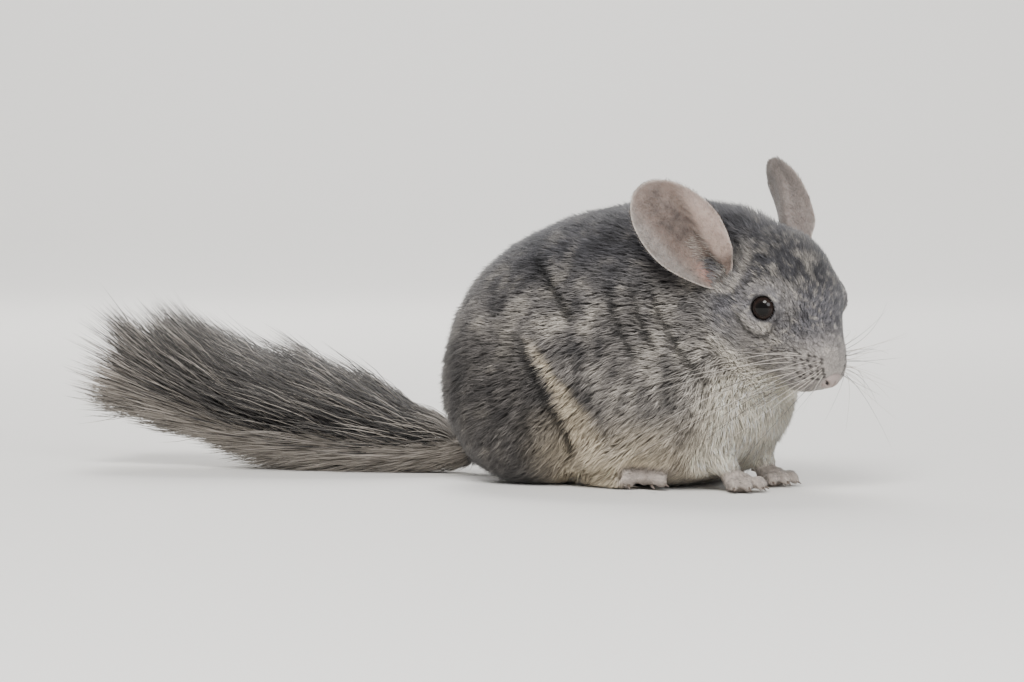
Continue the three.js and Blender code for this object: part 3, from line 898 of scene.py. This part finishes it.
tailHair = {"brush": 8200, "stem": 8200, "crest": 52, "low": 21, "width": 0.4}


def tailFrame():
    along = unit(np.gradient(tailPath, axis=0))
    side = unit(np.cross([0, 0, 1], along))
    return along, side, np.cross(along, side)


def growTail(name, amount, brush):
    # the brush is the long dark crest and the tail's end, the stem the paler hair under it
    along, side, above = tailFrame()
    t = mix(0.14, 1.0, rng.random(amount) ** 0.9) if brush else mix(0.12, 0.99, rng.random(amount))
    i = np.minimum((t * (len(tailPath) - 1)).astype(int), len(tailPath) - 1)
    end = ease(t, 0.78, 1)
    if brush:
        angle = rng.normal(0, 0.5, amount) * mix(1, 2.4, end)
    else:
        angle = mix(0.9, 2 * math.pi - 0.9, rng.random(amount))
    high = np.cos(angle)
    out = side[i] * np.sin(angle)[:, None] + above[i] * high[:, None]
    core = mix(tailCore["root"], tailCore["tip"], ease(t, 0, 1))
    crest = np.clip(0.5 + 0.5 * high, 0, 1) ** 1.6
    full = ease(t, 0.06, 0.42) * mix(1, 0.82, ease(t, 0.5, 1))
    low = mix(tailHair["low"], 36, ease(t, 0.7, 1))
    if brush:
        long = mix(low, np.maximum(low, mix(15, tailHair["crest"], full)), crest)
        off = mix(0.78, 0.42, ease(t, 0.7, 1))
    else:
        long = mix(10, low, ease(t, 0.1, 0.4)) * mix(1, 1.15, crest)
        off = mix(0.3, 0.55, rng.random(amount)) * mix(0.7, 1, ease(t, 0.1, 0.4))
    long = long * (0.66 + 0.38 * rng.random(amount))
    root = tailPath[i] + out * (core * 0.75)[:, None]
    wave = np.stack([cloud(root + out * 9, 7, 50 + k) for k in range(3)], axis=1)
    drift = wave * 0.1 * long[:, None] + rng.normal(size=(amount, 3)) * 0.05 * long[:, None]
    ahead = along[i]
    lines = []
    for s in np.linspace(0, 1, 5):
        p = root + out * (off * long * (1.5 * s - 0.5 * s * s))[:, None]
        p = p + ahead * (0.8 * long * (0.45 * s + 0.55 * s * s))[:, None] + drift * s * s
        p[:, 2] = np.maximum(p[:, 2], 0.35 + 0.25 * (1 - s))
        p[:, 0] = np.maximum(p[:, 0], tailEnd + 3 * s)
        p[:, 1] = np.maximum(p[:, 1], tailSide + s)
        lines.append(p)
    lines = np.stack(lines, axis=1)
    wide = tailHair["width"] * (0.6 + 0.6 * rng.random(amount))
    widths = wide[:, None] * np.array([0, 1, 0.9, 0.65, 0])[None]
    c = coatColours
    if brush:
        pale = rng.random(amount) < mix(0.16, 0.3, end)
        base = np.where(pale[:, None], c["stem"] * 0.9, c["crest"] * 0.8)
        early = 1 - ease(t, 0.1, 0.2)
        base = tint(base, c["stem"], early)
        share = np.where(pale, 0.8, 0.25) * rng.random(amount)
    else:
        pale = rng.random(amount) < 0.8
        base = np.where(pale[:, None], c["stem"], c["stem"] * 0.5)
        share = 0.5 * rng.random(amount)
    base = base * (1 + 0.14 * rng.normal(size=amount))[:, None]
    tipTone = tint(base, c["tailTip"], share)
    shades = [base * 0.5, base * 0.75, base, mix(base, tipTone, 0.6), tipTone]
    colours = np.clip(np.stack(shades, axis=1), 0.003, 0.95)
    # each hair's patch lies at its root's place on the skin's unwrap
    spots = tailUv[i, np.floor((angle / (2 * math.pi) % 1) * 12).astype(int) % 12]
    patches = spots + (rng.random((amount, 2)) - 0.5) * hairPatch["spread"]
    piece = strands(name, lines, widths, colours, patches, out, tailFur, plush=0.45)
    if brush:
        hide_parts("tail")


def nearestUv():
    # the skin's own unwrap, looked up round the tail's core
    along, side, above = tailFrame()
    table = np.zeros((len(tailPath), 12, 2))
    for i in range(len(tailPath)):
        for k in range(12):
            turn = 2 * math.pi * (k + 0.5) / 12
            out = side[i] * math.sin(turn) + above[i] * math.cos(turn)
            place, _, face, _ = fleshTree.find_nearest(Vector(tailPath[i] + out * 5))
            a, b, c = (inner[faceCorners[face, j]] for j in range(3))
            p = np.array(place)
            total = np.linalg.norm(np.cross(b - a, c - a)) + 1e-12
            share = np.array([np.linalg.norm(np.cross(b - p, c - p)),
                              np.linalg.norm(np.cross(c - p, a - p)),
                              np.linalg.norm(np.cross(a - p, b - p))]) / total
            table[i, k] = share @ skinUv[face] / max(share.sum(), 1e-9)
    return table


tailUv = nearestUv()
tailFur = furMaterial("tail_fur", 0.5, 0.2)
tailEnd = cadBox[0][0] * 1000 - shift[0] - 8
tailSide = cadBox[0][1] * 1000 - shift[1] - 3
growTail("tail_brush", tailHair["brush"], True)
growTail("tail_stem", tailHair["stem"], False)

# Ears

earShape = {"length": 48, "width": 30.5, "thickness": 1.1}
earSet = {
    "right": {"root": (-17, -25, 4), "axis": (-0.77, -0.47, 0.43), "facing": (0.7, -0.5, 0.5),
              "lean": 5, "front": -1, "lobe": 3.0},
    "left": {"root": (-20, 22, 8), "axis": (-0.92, 0.32, 0.22), "facing": (0.53, 0.8, 0.3),
             "lean": 1, "front": 1, "lobe": 1.0},
}


def earFrame(side):
    axis = unit(np.array(earSet[side]["axis"]))
    across = unit(np.cross(axis, earSet[side]["facing"]))
    return np.stack([np.cross(across, axis), across, axis]), np.array(earSet[side]["root"])


def lobeAt(ahead, rise):
    inner = 0.2 + 0.28 * ease(rise, 0.25, 0.8)
    along = ease(rise, 0.1, 0.2) * (1 - ease(rise, 0.55, 0.85))
    return ease(ahead, inner, inner + 0.13) * (1 - 0.6 * ease(ahead, 0.75, 1)) * along


def earPoint(rise, x, thick, side):
    # rise runs from root to tip, x across the leaf and thick from its inside to its back
    width = earShape["width"] / 2 * mix(0.86, 1, ease(rise, 0, 0.5))
    bend = mix(8, 34, ease(rise, 0, 0.75))
    angle = x * width / bend
    rim = 0.5 * ease(np.abs(x), 0.7, 1.0) * ease(rise, 0.1, 0.4)
    deep = bend - (earShape["thickness"] / 2) * thick - rim * 0.4
    p = np.stack([bend - deep * np.cos(angle) - earSet[side]["lean"] * rise**2,
                  -deep * np.sin(angle), earShape["length"] * rise - 3], axis=-1)
    basis, root = earFrame(side)
    # the bowl is deepest low down, and a broad lobe folds in over it from the front edge
    ahead = x * earSet[side]["front"]
    bowl = np.exp(-((ahead + 0.05) / 0.5) ** 2 - ((rise - 0.34) / 0.26) ** 2)
    p[..., 0] += earSet[side]["lobe"] * lobeAt(ahead, rise) - 3.4 * bowl
    p[..., 0] -= 2.4 * np.exp(-((ahead - 0.12) / 0.16) ** 2 - ((rise - 0.17) / 0.07) ** 2)
    p[..., 0] += 0.25 * np.sin(11 * x + 3 * rise) * ease(rise, 0.3, 0.6) * (1 - ease(rise, 0.8, 1))
    return onHead(p @ basis + root)


def earMaterial():
    maker = Maker("ear_skin")
    coat = maker.coat()
    blotch = maker.noise(260, 4)
    fine = maker.noise(1500, 3)
    maker.shader.inputs["Sheen Weight"].default_value = 0.12
    maker.shader.inputs["Subsurface Weight"].default_value = 0.12
    maker.shader.inputs["Subsurface Radius"].default_value = (0.004, 0.0015, 0.001)
    return maker.finish(
        Base_Color=maker.blend(blotch ** 2 * 0.9, coat, (0.55, 0.5, 0.5), "MULTIPLY"),
        Roughness=0.5 + 0.2 * fine,
        Normal=maker.bump(blotch + 0.4 * fine, 0.0006, 0.8),
    )


# canal is painted shade, lobe and rim are painted light (rim also colours the pale tufts), dark is both
# the ear's own mottling and painted shade
earColours = {
    "inside": rgb(132, 115, 105), "dark": rgb(74, 63, 58), "back": rgb(146, 136, 130),
    "rim": rgb(190, 180, 170), "lobe": rgb(168, 149, 138), "canal": rgb(38, 27, 22),
    "pink": rgb(178, 138, 126), "edge": rgb(142, 136, 130),
}
earSkin = earMaterial()


def earTone(rise, x, thick, places, side):
    c = earColours
    ahead = x * earSet[side]["front"]
    inside = ease(thick, -0.2, 0.3)
    tone = np.tile(c["inside"], (len(rise), 1))
    tone = tint(tone, c["edge"], 0.8 * (1 - ease(ahead, -0.75, -0.25)))
    # painted shade in the cup: a dark patch, broken up by the ear's own dark mottling
    patch = np.exp(-((rise - 0.68) / 0.26) ** 2 - ((ahead - 0.06) / 0.42) ** 2)
    mottle = 1 + 0.7 * cloud(places, 2.2, 61) + 0.4 * cloud(places, 5, 62)
    tone = tint(tone, c["dark"], patch * mottle)
    tone = tint(tone, c["dark"], 0.3 * ease(cloud(places, 1.6, 63), 0.1, 0.7))
    # painted light: the raised lobe is painted paler
    tone = tint(tone, c["lobe"], 0.95 * lobeAt(ahead, rise))
    # painted shade: a dark line along the lobe's inner edge
    lip = np.exp(-((ahead - 0.22 - 0.28 * ease(rise, 0.25, 0.8)) / 0.05) ** 2) * ease(rise, 0.15, 0.25)
    tone = tint(tone, c["dark"] * 0.8, 0.6 * lip * (1 - ease(rise, 0.6, 0.8)))
    tone = tint(tone, c["pink"], np.exp(-((ahead + 0.12) / 0.25) ** 2 - ((rise - 0.14) / 0.08) ** 2))
    # painted shade: the canal is painted near black
    tone = tint(tone, c["canal"], np.exp(-((ahead - 0.12) / 0.15) ** 2 - ((rise - 0.17) / 0.065) ** 2))
    tone = mix(np.tile(c["back"], (len(rise), 1)), tone, inside[:, None])
    # painted light: a pale line along the rim, between the inside and the back
    return tint(tone, c["rim"], 0.85 * (1 - ease(np.abs(thick), 0.1, 0.34)))


def unitBall(across, down):
    bm = bmesh.new()
    bmesh.ops.create_uvsphere(bm, u_segments=across, v_segments=down, radius=1)
    return bm, np.array([v.co for v in bm.verts])


def setPlaces(bm, places):
    for v, place in zip(bm.verts, metres(places)):
        v.co = place


def newPiece(bm, name, material):
    mesh = bpy.data.meshes.new(name)
    bm.to_mesh(mesh)
    bm.free()
    mesh.shade_smooth()
    mesh.materials.append(material)
    piece = bpy.data.objects.new(name, mesh)
    bpy.context.scene.collection.objects.link(piece)
    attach(piece, "root")
    return piece


def addEar(side):
    bm, raw = unitBall(64, 44)
    rise = (raw[:, 2] + 1) / 2
    places = earPoint(rise, raw[:, 0], raw[:, 1], side)
    setPlaces(bm, places)
    bmesh.ops.recalc_face_normals(bm, faces=bm.faces)
    piece = newPiece(bm, "ear_" + side + "_cup", earSkin)
    setColour(piece.data, "coat", earTone(rise, raw[:, 0], raw[:, 1], places, side))
    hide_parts("ear_" + side)


def growEarFur(side, amount, back):
    basis, _ = earFrame(side)
    ahead = earSet[side]["front"]
    rise = rng.uniform(0.05, 0.995, amount)
    edge = np.sqrt(np.maximum(1 - (2 * rise - 1) ** 2, 0))
    x = rng.uniform(-1, 1, amount) * edge
    tuft = np.zeros(amount, bool)
    if not back:
        # long pale hairs stand along the lobe's inner edge and round the canal
        tuft = rng.random(amount) < 0.07
        rise = np.where(tuft, 0.1 + 0.32 * rng.random(amount) ** 1.4, rise)
        inner = 0.2 + 0.28 * ease(rise, 0.25, 0.8) + 0.09 * rng.normal(size=amount)
        x = np.where(tuft, ahead * inner, x)
        edge = np.sqrt(np.maximum(1 - (2 * rise - 1) ** 2, 0))
    depth = np.sqrt(np.maximum(edge**2 - x**2, 0)) * (-1.0 if back else 1.0)
    a = earPoint(rise, x, depth, side)
    b = earPoint(rise + 0.01, x, depth, side)
    c = earPoint(rise, x + 0.01, depth, side)
    n = unit(np.cross(b - a, c - a))
    facing = (onHead(basis[0]) - onHead(np.zeros(3))) * (-1 if back else 1)
    n = n * np.sign(n @ facing)[:, None]
    up = unit(b - a)
    aside = unit(c - a)
    lean = np.where(tuft, -ahead * (0.4 + 0.9 * rng.random(amount)), 0.5 * x)
    long = (1.7 if back else 1.1) * (0.5 + 0.8 * rng.random(amount))
    long = long * np.where(rise > 0.9, 0.5, 1) * np.where(tuft, 2.6, 1)
    way = up * 0.85 + aside * lean[:, None]
    tip = a + way * long[:, None] + n * (0.28 * long)[:, None]
    half = a + way * 0.5 * long[:, None] + n * (0.24 * long)[:, None]
    lines = np.stack([a - n * 0.1, half, tip], axis=1)
    wide = 0.13 * (0.7 + 0.6 * rng.random(amount))
    widths = np.stack([wide * 0, wide, wide * 0], axis=1)
    tone = earTone(rise, x, np.sign(depth), a, side) * rng.choice([0.7, 1, 1.25], amount)[:, None]
    tone = np.where(tuft[:, None], earColours["rim"] * (0.5 + 0.5 * rng.random(amount))[:, None], tone)
    colours = np.clip(np.stack([tone * 0.8, tone, tone * 1.1], axis=1), 0.01, 0.95)
    uv = np.stack([0.25 + 0.22 * x, 0.05 + 0.9 * rise], axis=1) + (0 if back else [0.5, 0])
    label = "ear_" + side + ("_back_fur" if back else "_inner_fur")
    strands(label, lines, widths, colours, uv, n, faceFur, plush=0.6)


for side in ("right", "left"):
    addEar(side)
    growEarFur(side, 5200, True)
    growEarFur(side, 4200, False)

# Eyes and lids


def eyeMaterial():
    maker = Maker("eye")
    depthTone = maker.noise(500, 3)
    maker.shader.inputs["Coat Weight"].default_value = 0.12
    maker.shader.inputs["Coat Roughness"].default_value = 0.02
    maker.shader.inputs["Specular IOR Level"].default_value = 0.16
    coat = maker.coat()
    return maker.finish(
        Base_Color=maker.blend(depthTone * 0.5, coat, (0.3, 0.25, 0.25), "MULTIPLY"),
        Roughness=0.06 + 0.06 * depthTone,
    )


eyeGloss = eyeMaterial()
gaze = {"right": unit(np.array([0.34, -0.9, 0.26])), "left": unit(np.array([0.34, 0.9, 0.26]))}


def gazeTurn(side):
    look = onHead(gaze[side]) - onHead(np.zeros(3))
    return np.array(Vector(look).to_track_quat("Z", "Y").to_matrix())


def addEye(side):
    bm, raw = unitBall(48, 32)
    bulge = 1 + 0.05 * np.exp(-((1 - raw[:, 2]) / 0.25) ** 2)
    setPlaces(bm, (raw * bulge[:, None] * eyeRadius) @ gazeTurn(side).T + onHead(eyeSpot[side]))
    piece = newPiece(bm, "eyeball_" + side, eyeGloss)
    ring = np.arccos(np.clip(raw[:, 2], -1, 1))
    tone = np.tile(rgb(10, 8, 8), (len(raw), 1))
    tone = tint(tone, rgb(38, 28, 24), np.exp(-(((ring - 0.62) / 0.16) ** 2)))
    tone = tint(tone, rgb(120, 112, 108), ease(ring, 1.0, 1.12))
    setColour(piece.data, "coat", tone)
    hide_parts("eye_" + side)


lidShape = {"radius": 5.1, "roll": 0.75, "out": 3.0, "long": 1.12, "tall": 0.95}


def lidMaterial():
    maker = Maker("lid_skin")
    grain = maker.noise(2200, 3)
    return maker.finish(
        Base_Color=maker.blend(grain, rgb(40, 36, 37), rgb(74, 68, 68)),
        Roughness=0.42 + 0.2 * grain,
        Normal=maker.bump(grain, 0.0003, 0.6),
    )


lidSkin = lidMaterial()


def addLids(side):
    bm = bmesh.new()
    made = bmesh.ops.create_circle(bm, segments=12, radius=lidShape["roll"])
    offset = Matrix.Translation((lidShape["radius"], 0, 0)) @ Matrix.Rotation(math.pi / 2, 4, "X")
    bmesh.ops.transform(bm, matrix=offset, verts=made["verts"])
    bmesh.ops.spin(bm, geom=bm.edges[:], cent=(0, 0, 0), axis=(0, 0, 1), angle=2 * math.pi,
                   steps=40, use_merge=True)
    bmesh.ops.remove_doubles(bm, verts=bm.verts, dist=1e-4)
    bmesh.ops.recalc_face_normals(bm, faces=bm.faces)
    turn = gazeTurn(side)
    for v in bm.verts:
        p = np.array(v.co) * [lidShape["long"], lidShape["tall"], 1]
        across = p[0] / (lidShape["radius"] * lidShape["long"])
        p[2] += lidShape["out"] - 0.9 * across**2
        v.co = metres(turn @ p + onHead(eyeSpot[side]))
    newPiece(bm, "lids_" + side, lidSkin)


for side in ("right", "left"):
    addEye(side)
    addLids(side)
print("ears and eyes")

# Nose pad

noseShape = {"centre": (30.1, 0, -11.2), "half": (2.7, 4.9, 3.5), "nostril": (32.1, 2.9, -11.3)}


def noseMaterial():
    maker = Maker("nose_skin")
    coat = maker.coat()
    grain = maker.noise(2600, 3)
    return maker.finish(
        Base_Color=maker.blend(grain * 0.4, coat, (0.4, 0.34, 0.34), "MULTIPLY"),
        Roughness=0.38 + 0.2 * grain,
        Normal=maker.bump(grain, 0.0004, 0.7),
    )


def addNose():
    bm, raw = unitBall(96, 64)
    local = raw * noseShape["half"] + noseShape["centre"]
    dark = np.zeros(len(raw))
    for s in (-1, 1):
        hole = np.array(noseShape["nostril"]) * [1, s, 1]
        q = (local - hole) * [0.8, 1, 1]
        slant = q[:, 1] * s * 0.75 + q[:, 2] * 0.66
        across = -q[:, 1] * s * 0.66 + q[:, 2] * 0.75
        share = np.exp(-(slant / 1.5) ** 2 - (across / 0.62) ** 2 - (q[:, 0] / 2.2) ** 2)
        local = local - np.array([1.6, -0.3 * s, 0]) * share[:, None]
        dark = np.maximum(dark, share)
    cleft = np.exp(-(local[:, 1] / 0.35) ** 2) * ease(-local[:, 2], 9.5, 11)
    local[:, 0] -= 0.7 * cleft
    setPlaces(bm, onHead(local))
    piece = newPiece(bm, "nose_pad", noseMaterial())
    tone = np.tile(coatColours["pink"], (len(raw), 1))
    # painted shade: the dented nostrils are painted near black
    tone = tint(tone, rgb(26, 18, 18), ease(dark, 0.2, 0.6))
    # painted shade: the dented cleft is painted darker
    tone = tint(tone, rgb(90, 72, 70), 0.7 * cleft)
    setColour(piece.data, "coat", tone)


addNose()

# Claws

clawShape = {"length": 2.2, "wide": 0.62, "point": 0.14}


def addClaws():
    bm = bmesh.new()
    for foot in feet:
        for digit in foot[2]:
            _, tip, ahead = digitLine(foot, digit)
            tip, ahead = Vector((*tip, foot[4] * 0.95)), Vector((*ahead, 0))
            made = bmesh.ops.create_cone(bm, cap_ends=True, segments=10, radius1=clawShape["wide"],
                                         radius2=clawShape["point"], depth=clawShape["length"])
            for v in made["verts"]:
                v.co.x -= 0.16 * (v.co.z + 0.6) ** 2
            lean = (ahead - Vector((0, 0, 0.35))).to_track_quat("Z", "X").to_matrix().to_4x4()
            move = Matrix.Translation(metres(tip)) @ Matrix.Scale(0.001, 4) @ lean
            bmesh.ops.transform(bm, matrix=move, verts=made["verts"])
    maker = Maker("claw")
    grain = maker.noise(1800, 3)
    horn = maker.finish(
        Base_Color=maker.blend(grain, rgb(120, 108, 98), rgb(74, 64, 58)),
        Roughness=0.35 + 0.15 * grain,
    )
    newPiece(bm, "claws", horn)


addClaws()

# Whiskers

whiskerSet = {"width": 0.2, "near": 22, "far": 84}


def growWhiskers(side):
    # they leave the muzzle outwards, then sweep back along the cheek and droop
    s = -1 if side == "right" else 1
    farY = np.array([cadBox[0][1], cadBox[1][1]]) * 1000 - shift[1] + [-1.5, 1.5]
    farX = cadBox[1][0] * 1000 - shift[0] + 6
    lines, widths, norms, tones = [], [], [], []
    for index, spot in enumerate(whiskerRoots):
        row, k = divmod(index, 5)
        aim = spot * [1, -s, 1]
        place, normal, _, _ = fleshTree.find_nearest(Vector(onHead(aim)))
        root = np.array(place)
        rearward = 1 - k / 4
        long = mix(whiskerSet["near"], whiskerSet["far"], rearward ** 0.8) * (0.7 + 0.45 * rng.random())
        fan = 0.28 - 0.13 * row + 0.1 * rng.normal()
        leave = unit(onHead([mix(0.5, -0.25, rearward), s, fan]) - headPlace)
        sweep = unit(np.array([mix(-0.2, -1, rearward), 0.3 * s, 0.6 * fan - 0.15]))
        if side == "left":
            sweep = unit(np.array([mix(0.3, -0.6, rearward), 1, 0.9 * fan]))
        middle = root + leave * long * 0.28
        end = middle + (sweep + 0.12 * rng.normal(size=3)) * long * 0.75
        t = np.linspace(0, 1, 13)[:, None]
        curve = root * (1 - t) ** 2 + 2 * middle * t * (1 - t) + end * t**2
        curve[:, 2] -= 0.0018 * long * long * t[:, 0] ** 2
        curve[:, 2] = np.maximum(curve[:, 2], 2)
        # where one would leave the model's box it is drawn in closer
        over = max((curve[:, 1] - root[1]).max() / max(farY[1] - root[1], 1),
                   (root[1] - curve[:, 1]).max() / max(root[1] - farY[0], 1),
                   (curve[:, 0] - root[0]).max() / max(farX - root[0], 1), 1)
        curve = root + (curve - root) / over
        lines.append(curve)
        widths.append(whiskerSet["width"] * (1 - 0.8 * t[:, 0] ** 1.2))
        norms.append(np.array(normal))
        tones.append(rgb(206, 198, 188) if rng.random() < 0.5 else rgb(64, 60, 60))
    lines, widths, norms = np.array(lines), np.array(widths), np.array(norms)
    tone = np.tile(np.array(tones)[:, None, :], (1, 13, 1))
    row = np.full(len(lines), 0.02 if s < 0 else 0.96)
    patches = np.stack([0.02 + 0.03 * np.arange(len(lines)), row], axis=1)
    strands("whiskers_" + side, lines, widths, tone, patches, norms, whiskerLook,
            sides=5, plush=0.2)


def whiskerMaterial():
    maker = Maker("whisker")
    coat = maker.coat()
    fine = maker.noise(700, 2)
    return maker.finish(
        Base_Color=maker.blend(fine * 0.3, coat, (0.5, 0.48, 0.46), "MULTIPLY"),
        Roughness=0.3 + 0.15 * fine,
    )


whiskerLook = whiskerMaterial()
growWhiskers("right")
growWhiskers("left")
print("nose and whiskers")
